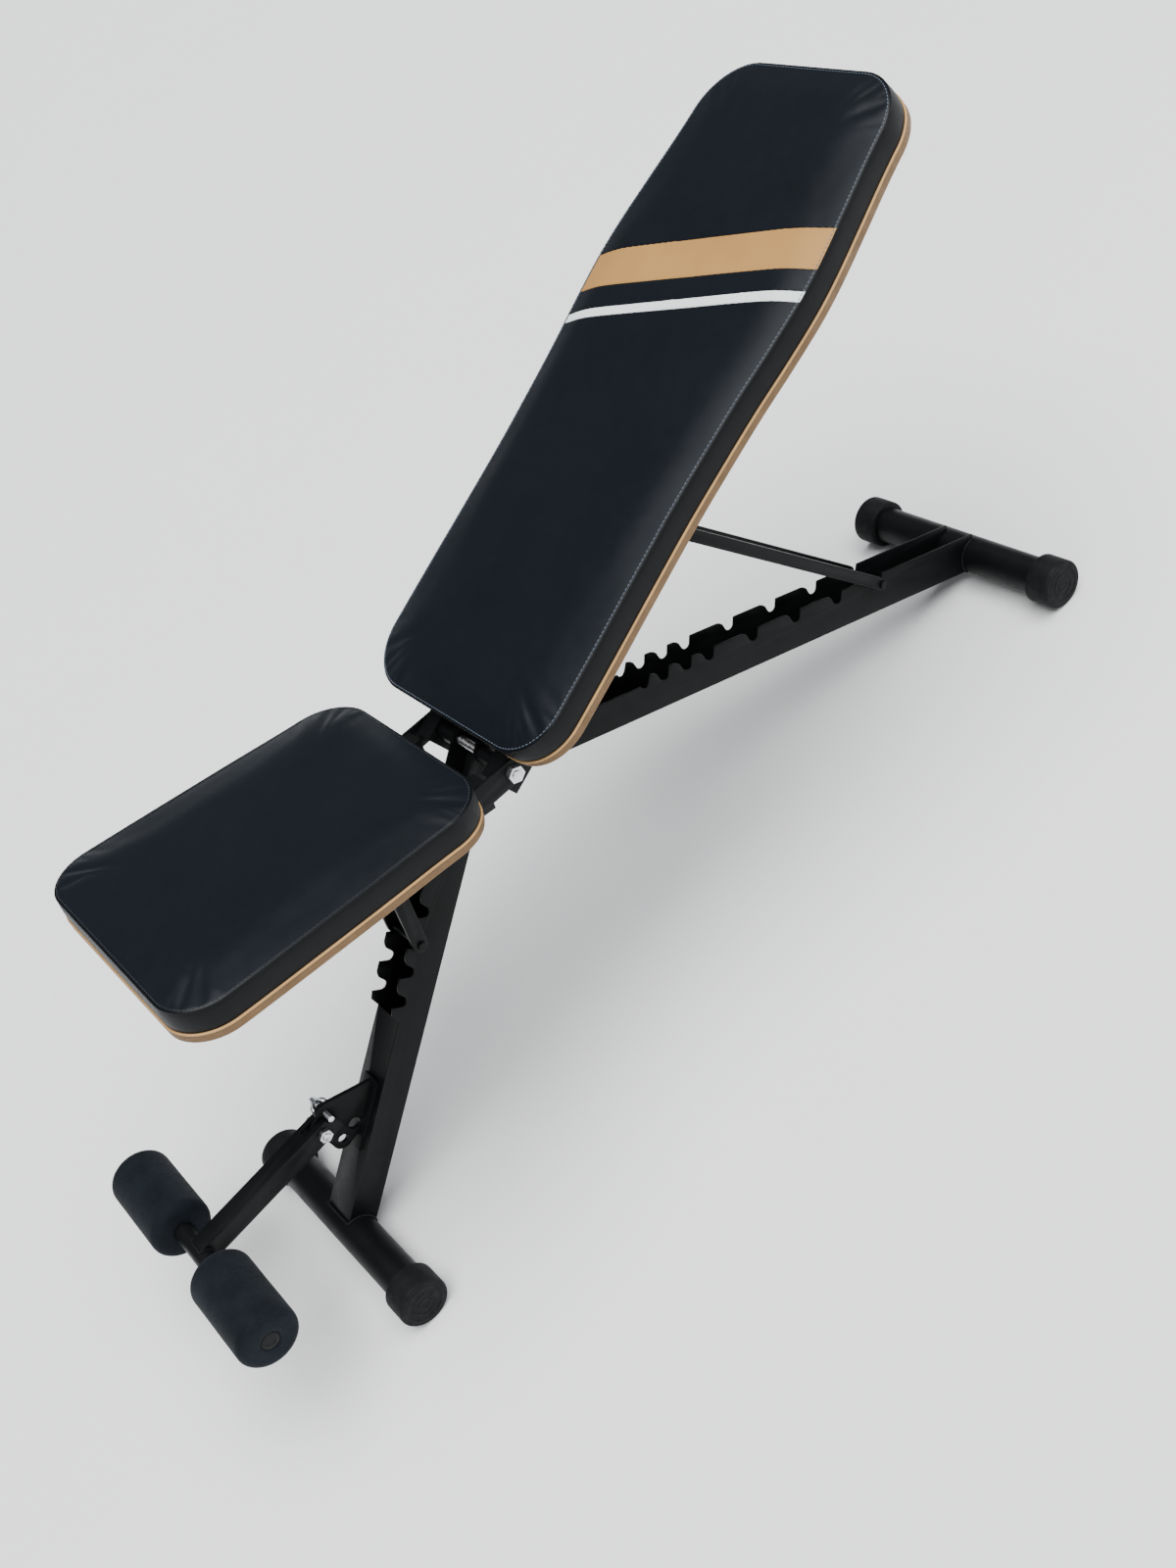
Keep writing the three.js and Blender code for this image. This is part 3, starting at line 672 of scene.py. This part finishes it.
def edge_trim(name):
    """Ribbed edge band round the board with a raised bead along its top; the bead takes a lighter copy of
    the band colour, a painted highlight.
    """
    pad = PADS[name]
    place = pad["place"]
    ring = ring_maker(pad["stations"], pad["corners"], 150)
    low = pad["rail_top"] + GAP
    high = low + BOARD
    profile = [(2.5, low, 0), (0.7, low, 0), (0.15, low + 0.55, 0)]
    ribs = 4
    span = BOARD - 4.4
    for k in range(ribs):
        a = low + 0.9 + span * k / ribs
        b = span / ribs
        profile += [(0.0, a + 0.15 * b, 0), (0.0, a + 0.72 * b, 0), (0.42, a + 0.86 * b, 0)]
    # Points marked 1 form the bead, coloured lighter than the band: painted highlight.
    top = high - 3.0
    profile += [(0.3, top, 1), (-0.35, top + 0.55, 1), (-0.75, top + 1.3, 1), (-0.6, top + 2.1, 1),
                (0.0, high - 0.25, 1), (0.9, high, 1), (2.5, high, 0)]
    bm = bmesh.new()
    grid = [[bm.verts.new(place(s, n, y)) for s, y in ring(inset)] for inset, n, _ in profile]
    around = len(grid[0])
    for k in range(len(profile)):
        nxt = (k + 1) % len(profile)
        for i in range(around):
            j = (i + 1) % around
            f = bm.faces.new((grid[k][i], grid[k][j], grid[nxt][j], grid[nxt][i]))
            f.material_index = profile[k][2] if profile[k][2] == profile[nxt][2] else 0
    bmesh.ops.recalc_face_normals(bm, faces=bm.faces)
    # Slot 1, the bead, is the lighter copy of the band colour: painted highlight.
    o = to_object(f"{name}_edge_band", bm, ["trim", "bead"])
    sharpen(o, 50)
    return finish_piece(o, name, "edge_trim", f"{name}_edge_trim")


def pads():
    for name, count in (("seat", 150), ("backrest", 240)):
        pad = PADS[name]
        o, ring, seam_line = cushion(name, count)
        settle(o, pad)
        surface = o.copy()
        surface.data = o.data.copy()
        bpy.context.scene.collection.objects.link(surface)
        if name == "backrest":
            stripe_cuts(o)
        finish_piece(o, name, "vinyl", f"{name}_cushion")
        stitches(name, pad, ring, surface)
        bpy.data.objects.remove(surface)
        fold_lip(name, seam_line)
        edge_trim(name)
        refine(f"{name}_board", name, "board", "board", 0.8, f"{name}_board_cover")


# ---------------------------------------------------------------- round parts
def feet():
    for end, axis in (("front", front_foot), ("rear", rear_foot)):
        profile = rounded([(25, -175), (25, 175), (23, 175), (23, -175)], 0.5)
        o = lathe(f"{end}_foot_tube_skin", profile, axis, "paint", 96)
        finish_piece(o, "frame", "frame_paint", f"{end}_foot_tube")
        for side, sign in (("left", -1), ("right", 1)):
            cap(end, axis, side, sign)


def cap(end, axis, side, sign):
    tip, mouth, bore = 180.3, 142.3, 25.3
    outer = [(0, tip - 5), (bore, tip - 5), (bore, mouth), (30.6, mouth), (31.6, mouth + 0.4),
             (32.6, mouth + 1.4), (33, mouth + 3), (33, tip - 4.5), (32.6, tip - 2.6), (31.6, tip - 1.1),
             (30, tip - 0.2), (28.4, tip)]
    for r in (24, 15, 7):
        outer += [(r + 1.6, tip), (r + 0.9, tip + 0.65), (r, tip + 0.9)]
        outer += [(r - 0.9, tip + 0.65), (r - 1.6, tip)]
    outer += [(2.4, tip), (1.8, tip + 0.6), (0, tip + 0.8)]
    profile = [(r, sign * y) for r, y in outer]
    o = lathe(f"{end}_foot_cap_{side}_skin", profile, axis, "rubber", 96, cut_floor=True)
    finish_piece(o, "frame", "cap_rubber", f"{end}_foot_cap_{side}")


def rollers():
    inner, outer, radius, corner = 46, 181, 39.2, 12.2
    shoulder = radius - corner

    def uneven(seed):
        return lambda a, y: 1 + 0.006 * noise.noise(
            Vector((math.cos(a) * 1.1 + seed, math.sin(a) * 1.1, y * 0.022)))
    for side, sign, seed in (("left", -1, 3.0), ("right", 1, 9.0)):
        profile = [(12.6, 47.2), (14.5, 46.4)]
        profile += [(r, 46.2 - 0.5 * math.sin(math.pi * (r - 14) / 14)) for r in (17, 20, 23, 26)]
        profile += [(shoulder + corner * math.sin(a), inner + corner * (1 - math.cos(a)))
                    for a in np.linspace(0.05, math.pi / 2, 9)]
        profile += [(radius, y) for y in np.linspace(62, 165, 12)]
        profile += [(shoulder + corner * math.cos(a), outer - corner * (1 - math.sin(a)))
                    for a in np.linspace(0, math.pi / 2 - 0.05, 9)]
        profile += [(r, 180.8 + 0.3 * math.sin(math.pi * (r - 14) / 14)) for r in (26, 23, 20, 17)]
        profile += [(14.5, 180.6), (12.6, 179.8)]
        profile = [(r, sign * y) for r, y in profile]
        o = lathe(f"foam_roller_{side}_soft", profile, roller_axis, "foam", 96, uneven(seed))
        finish_piece(o, f"roller_{side}", "foam", f"foam_roller_{side}")
        plug = [(0, 165), (10.7, 165), (10.7, 177.3), (12.1, 177.3), (12.1, 178.6), (11.6, 179.5),
                (10.6, 180), (6.5, 180), (6.0, 179.3), (0, 179.2)]
        plug = [(r, sign * y) for r, y in plug]
        o = lathe(f"cross_tube_plug_{side}_skin", plug, roller_axis, "plug", 64)
        finish_piece(o, "leg_hold", "plug", f"cross_tube_plug_{side}")
    profile = rounded([(12.5, -177), (12.5, 177), (11, 177), (11, -177)], 0.4)
    o = lathe("roller_cross_tube_skin", profile, roller_axis, "paint", 72)
    finish_piece(o, "leg_hold", "frame_paint", "roller_cross_tube")


def rods():
    """Latch and pivot rods with chamfered ends, and the hinge spacers."""
    for node, body, r in (("seat_prop_latch_rod", "seat_prop", 5), ("seat_prop_pivot_rod", "seat", 5),
                          ("backrest_prop_latch_rod", "backrest_prop", 5),
                          ("backrest_prop_pivot_rod", "backrest", 5)):
        low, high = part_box(node)
        a, b = low.y / MM, high.y / MM
        axis = ((low.x + high.x) / 2, (low.z + high.z) / 2)
        profile = [(0, a), (r - 1.2, a), (r, a + 1.2), (r, b - 1.2), (r - 1.2, b), (0, b)]
        bare = "pivot" in node
        o = lathe(node + "_skin", profile, axis, "zinc" if bare else "paint", 48)
        finish_piece(o, body, "zinc_steel" if bare else "frame_paint", node)
    for side in ("left", "right"):
        node = f"hinge_spacer_{side}"
        low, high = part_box(node)
        a, b = low.y / MM, high.y / MM
        profile = rounded([(6.3, a), (11, a), (11, b), (6.3, b)], 0.6)
        o = lathe(node + "_skin", profile, hinge, "paint", 48)
        finish_piece(o, "frame", "frame_paint", node)


def pin_and_ring():
    refine("stop_pin", "stop_pin", "zinc_steel", "zinc", 0.4)
    low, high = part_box("stop_pin_ring")
    middle = (low + high) / 2
    major = (high.z - low.z) / 2 - 1.2 * MM
    bm = bmesh.new()
    points = [middle + Vector((math.cos(a), 0, math.sin(a))) * major
              for a in np.linspace(0, 2 * math.pi, 72, endpoint=False)]
    if (high.y - low.y) > (high.x - low.x):
        points = [middle + Vector((0, math.cos(a), math.sin(a))) * major
                  for a in np.linspace(0, 2 * math.pi, 72, endpoint=False)]
    tube(bm, points, 1.15 * MM, closed=True, sides=12)
    o = to_object("stop_pin_ring_wire", bm, ["zinc"])
    finish_piece(o, "pin_ring", "zinc_steel", "stop_pin_ring")


# ---------------------------------------------------------------- welds
def weld(name, body, points, radius=2.0):
    """Bead of overlapping ripples along a joint."""
    line = resample(points, 0.55 * MM)
    bm = bmesh.new()
    tube(bm, line, radius * MM, sides=10,
         ripple=lambda i: 0.86 + 0.16 * abs(math.sin(math.pi * i * 0.55 / 2.6))
         + 0.07 * noise.noise(line[i] * 160))
    o = to_object(name, bm, ["paint"])
    return finish_piece(o, body, "frame_paint")


def circle_side(place, u0, v0, r, start, end, y, steps=24):
    return [place(u0 + r * math.cos(math.radians(a)), v0 + r * math.sin(math.radians(a)), y)
            for a in np.linspace(start, end, steps)]


def welds():
    round_foot, half_depth, half_width = 25.6, 20.4, 25.6
    reach = math.degrees(math.asin(half_depth / round_foot))
    loop = circle_side(on_post, 0, 0, round_foot, -reach, reach, half_width)
    loop += circle_side(on_post, 0, 0, round_foot, reach, -reach, -half_width)
    weld("weld_post_to_foot", "frame", loop + [loop[0]], 2.1)

    c, s = math.cos(math.radians(BEAM_ANGLE)), math.sin(math.radians(BEAM_ANGLE))
    dx, dz = (rear_foot[0] - hinge[0]) / MM, (rear_foot[1] - hinge[1]) / MM
    u0, v0 = dx * c + dz * s, -dx * s + dz * c
    beam_top, beam_bottom = -3.5, -44.5
    low = 180 + math.degrees(math.asin((v0 - beam_bottom) / round_foot))
    high = 101.0
    path = circle_side(on_beam, u0, v0, round_foot, high, low, 25.5)
    path += circle_side(on_beam, u0, v0, round_foot, low, high, -25.5)
    weld("weld_beam_to_foot", "frame", path, 2.1)

    def meets(v_beam):
        """Where a line along the beam meets the underside of the post."""
        a, d = on_beam(0, v_beam), on_beam.along
        b, e = on_post(0, -20.15), on_post.along
        t = np.linalg.solve(np.array([[d.x, -e.x], [d.z, -e.z]]), np.array([b.x - a.x, b.z - a.z]))
        return a + d * t[0]
    top, bottom = meets(beam_top), meets(beam_bottom)
    for side, y in (("left", -0.0252), ("right", 0.0252)):
        weld(f"weld_beam_to_post_{side}", "frame",
             [Vector((p.x, y, p.z)) for p in (top, top.lerp(bottom, 0.5), bottom)], 1.6)

    length = math.dist(arm_pivot, roller_axis) / MM
    loop = circle_side(on_arm, length, 0, 12.9, 98, 262, 13.2)
    loop += circle_side(on_arm, length, 0, 12.9, 262, 98, -13.2)
    weld("weld_arm_to_cross_tube", "leg_hold", loop + [loop[0]], 1.5)

    for side, y in (("left", -13.2), ("right", 13.2)):
        weld(f"weld_bracket_foot_{side}", "frame", [on_post(u, 20.6, y) for u in (116, 160, 204)], 1.3)


# ---------------------------------------------------------------- flat steel parts
def steelwork():
    paint = "frame_paint"
    for node, width in (("front_post", 0.9), ("rear_beam", 0.9), ("leg_hold_bracket", 0.5)):
        refine(node, "frame", paint, "paint", width)
    refine("leg_arm", "leg_hold", paint, "paint", 0.9)
    for side in ("left", "right"):
        refine(f"seat_rail_{side}", "seat", paint, "paint", 0.8)
        refine(f"backrest_rail_{side}", "backrest", paint, "paint", 0.8)
        refine(f"seat_hinge_strap_{side}", "seat", paint, "paint", 0.5)
        refine(f"seat_prop_arm_{side}", "seat_prop", paint, "paint", 0.9)
        refine(f"backrest_prop_arm_{side}", "backrest_prop", paint, "paint", 1.8)
    for node in ("hinge_bolt", "hinge_nut", "leg_arm_pivot_bolt", "leg_arm_pivot_nut"):
        refine(node, "frame", "zinc_steel", "zinc", 0.6)
    for pad in ("seat", "backrest"):
        for i in range(1, 5):
            refine(f"{pad}_pad_bolt_{i}", pad, "zinc_steel", "zinc", 0.6)


# ---------------------------------------------------------------- stage, light, camera
def plane_object(name, half, z=0.0):
    bm = bmesh.new()
    for x, y in ((-half, -half), (half, -half), (half, half), (-half, half)):
        bm.verts.new((x, y, z))
    bm.faces.new(bm.verts)
    mesh = bpy.data.meshes.new(name)
    bm.to_mesh(mesh)
    bm.free()
    o = bpy.data.objects.new(name, mesh)
    bpy.context.scene.collection.objects.link(o)
    return o


def stage():
    floor = plane_object("floor", 30.0)
    s = Surface("floor_pale", specular=0.2)
    s.color(s.mix(s.noise(3, 2), (0.89, 0.89, 0.89, 1), (0.91, 0.91, 0.91, 1)))
    s.bsdf.inputs["Roughness"].default_value = 0.9
    floor.data.materials.append(s.mat)
    world = bpy.data.worlds.new("studio")
    bpy.context.scene.world = world
    world.use_nodes = True
    background = world.node_tree.nodes["Background"]
    background.inputs["Color"].default_value = (0.86, 0.93, 1.0, 1)
    background.inputs["Strength"].default_value = 0.2


def area_light(name, place, target, size, energy, color):
    data = bpy.data.lights.new(name, "AREA")
    data.shape = "RECTANGLE"
    data.size, data.size_y = size
    data.energy = energy
    data.color = color
    o = bpy.data.objects.new(name, data)
    bpy.context.scene.collection.objects.link(o)
    o.location = place
    o.rotation_mode = "QUATERNION"
    o.rotation_quaternion = (Vector(target) - Vector(place)).to_track_quat("-Z", "Y")


def lights():
    data = bpy.data.lights.new("overhead_soft", "SUN")
    data.energy = 6.0
    data.angle = math.radians(62)
    data.color = (0.98, 0.99, 1.0)
    o = bpy.data.objects.new("overhead_soft", data)
    bpy.context.scene.collection.objects.link(o)
    o.rotation_euler = Vector((0.1, -0.22, 1.0)).to_track_quat("Z", "Y").to_euler()
    area_light("fill_left", (-2.6, -2.4, 2.2), (-0.2, 0, 0.3), (1.8, 1.8), 24, (1.0, 0.98, 0.95))
    area_light("fill_right", (2.8, -2.0, 1.6), (0.2, 0, 0.3), (1.6, 1.6), 18, (0.95, 0.98, 1.0))


def camera():
    """View from the front left and above, rolled so that the bench stands across the picture."""
    azimuth, elevation, roll = -15.16, 41.332, -36.8
    data = bpy.data.cameras.new("camera")
    data.lens = 40.347
    data.sensor_width = 36
    data.clip_start = 0.01
    o = bpy.data.objects.new("camera", data)
    bpy.context.scene.collection.objects.link(o)
    turn = Matrix.Rotation(math.radians(azimuth), 4, "Z")
    tip = Matrix.Rotation(math.radians(90 - elevation), 4, "X")
    lean = Matrix.Rotation(math.radians(roll), 4, "Z")
    o.matrix_world = Matrix.Translation((-0.41207, -1.5826, 1.6874)) @ turn @ tip @ lean
    bpy.context.scene.camera = o


# ---------------------------------------------------------------- build
camera()
stage()
lights()
pads()
feet()
rollers()
rods()
pin_and_ring()
steelwork()
welds()
